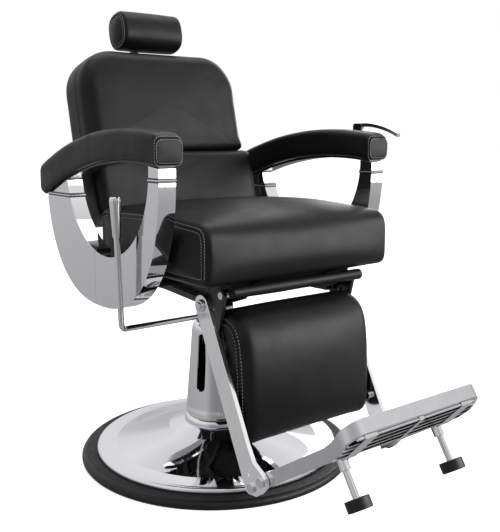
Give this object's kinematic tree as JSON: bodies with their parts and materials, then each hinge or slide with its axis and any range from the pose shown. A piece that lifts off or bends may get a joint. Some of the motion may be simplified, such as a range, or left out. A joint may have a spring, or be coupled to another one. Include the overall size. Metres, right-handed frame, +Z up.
{
  "type": "hydraulic barber chair",
  "caption": "Reclining barber chair on a round base: lifting, turning column, linked back and leg rest, folding footrest, headrest.",
  "frame": {"origin": "centre of the base on the floor", "axes": "+Z up, the sitter faces -Y, +X is the sitter's left hand side"},
  "size_m": [0.7135, 1.0847, 1.143],
  "materials": {
    "rubber": "ribbed",
    "cast_base": "rough",
    "chrome": "mirror polished",
    "brass": "turned",
    "dark_steel": "semi gloss",
    "zinc_steel": "zinc plated",
    "white_plastic": "moulded",
    "black_paint": "semi gloss",
    "plywood": "black stained plywood",
    "vinyl": "semi gloss grained vinyl",
    "black_plastic": "moulded",
    "aluminium": "polished"
  },
  "bodies": {
    "base": {"base_rubber_ring": "rubber", "base_bottom_plate": "cast_base", "base_disc": "chrome", "neck_collar": "chrome", "swivel_bearing": "brass", "pump_cylinder": "dark_steel", "pump_bolts": "zinc_steel"},
    "shroud": {"pump_shroud": "chrome", "shroud_bushing": "white_plastic"},
    "seat": {"piston": "chrome", "lever_head": "zinc_steel", "lever_pin": "zinc_steel", "mounting_plate": "black_paint", "mounting_bolts": "zinc_steel", "seat_frame": "black_paint", "frame_brackets": "black_paint", "seat_board": "plywood", "seat_cushion": "vinyl", "kick_roll": "vinyl", "side_panel_left": "chrome", "side_panel_right": "chrome", "panel_covers": "chrome", "armrest_plates": "black_paint", "armrest_left": "vinyl", "armrest_right": "vinyl", "release_bracket": "black_paint", "lock_cylinder": "black_paint", "lock_clamps": "black_paint"},
    "hand_lever": {"lever_rod": "chrome", "lever_grip": "chrome"},
    "release_lever": {"release_lever": "chrome"},
    "backrest": {"back_shaft": "zinc_steel", "back_cranks": "black_paint", "back_frame": "black_paint", "back_board": "plywood", "back_cushion": "vinyl", "lumbar_cushion": "vinyl", "back_rear_pad": "vinyl", "headrest_socket": "black_plastic", "headrest_knob": "black_plastic"},
    "headrest_post": {"headrest_post": "chrome", "headrest_pin": "zinc_steel"},
    "headrest": {"headrest_bracket": "chrome", "headrest_pad": "vinyl"},
    "lock_rod": {"lock_rod": "chrome"},
    "push_rod_left": {"push_rod_left": "black_paint"},
    "push_rod_right": {"push_rod_right": "black_paint"},
    "legrest": {"legrest_shaft": "zinc_steel", "legrest_brackets": "black_paint", "leg_bar_left": "aluminium", "leg_bar_right": "aluminium", "legrest_bolts": "zinc_steel", "legrest_cross_tube": "black_paint", "leg_pad_board": "plywood", "leg_pad": "vinyl", "footrest_pivots": "zinc_steel"},
    "footrest": {"footrest_frame": "aluminium", "footplate": "aluminium", "foot_legs": "chrome", "foot_rubbers": "rubber"}
  },
  "joints": [
    {"name": "swivel", "type": "hinge", "parent": "base", "child": "shroud", "pos_m": [0, 0, 0.112], "axis": [0, 0, 1], "continuous": true},
    {"name": "lift", "type": "slide", "parent": "shroud", "child": "seat", "axis": [0, 0, 1], "range_m": [0, 0.15]},
    {"name": "hand_lever_pump", "type": "hinge", "parent": "seat", "child": "hand_lever", "pos_m": [-0.0559, -0.02179, 0.37], "axis": [0.3633, -0.9317, 0], "range_deg": [0, 20], "stiffness_Nm_per_rad": 6, "springref_deg": -51.57},
    {"name": "release_press", "type": "hinge", "parent": "seat", "child": "release_lever", "pos_m": [0.333, -0.168, 0.838], "axis": [1, 0, 0], "range_deg": [0, 14], "stiffness_Nm_per_rad": 0.6, "springref_deg": -28.65},
    {"name": "recline", "type": "hinge", "parent": "seat", "child": "backrest", "pos_m": [0, 0.185, 0.512], "axis": [-1, 0, 0], "range_deg": [0, 50]},
    {"name": "legrest_raise", "type": "hinge", "parent": "seat", "child": "legrest", "pos_m": [0, -0.29, 0.484], "axis": [-1, 0, 0], "range_deg": [0, 50]},
    {"name": "push_rod_left_turn", "type": "hinge", "parent": "backrest", "child": "push_rod_left", "pos_m": [0.178, 0.242, 0.482], "axis": [-1, 0, 0], "range_deg": [-50, 0]},
    {"name": "push_rod_right_turn", "type": "hinge", "parent": "backrest", "child": "push_rod_right", "pos_m": [-0.178, 0.242, 0.482], "axis": [-1, 0, 0], "range_deg": [-50, 0]},
    {"name": "lock_rod_slide", "type": "slide", "parent": "seat", "child": "lock_rod", "axis": [0, -1, 0], "range_m": [0, 0.03889]},
    {"name": "headrest_height", "type": "slide", "parent": "backrest", "child": "headrest_post", "axis": [0, 0.225, 0.9744], "range_m": [0, 0.08]},
    {"name": "headrest_tilt", "type": "hinge", "parent": "headrest_post", "child": "headrest", "pos_m": [0, 0.3862, 1.07749], "axis": [-1, 0, 0], "range_deg": [-12, 20]},
    {"name": "footrest_fold", "type": "hinge", "parent": "legrest", "child": "footrest", "pos_m": [0, -0.4421, 0.12732], "axis": [-1, 0, 0], "range_deg": [0, 50]}
  ],
  "couplings": [
    {"joint": "legrest_raise", "follows": "recline", "ratio": 1},
    {"joint": "push_rod_left_turn", "follows": "recline", "ratio": -1},
    {"joint": "push_rod_right_turn", "follows": "recline", "ratio": -1},
    {"joint": "lock_rod_slide", "follows": "recline", "m_per_rad": 0.044554}
  ]
}
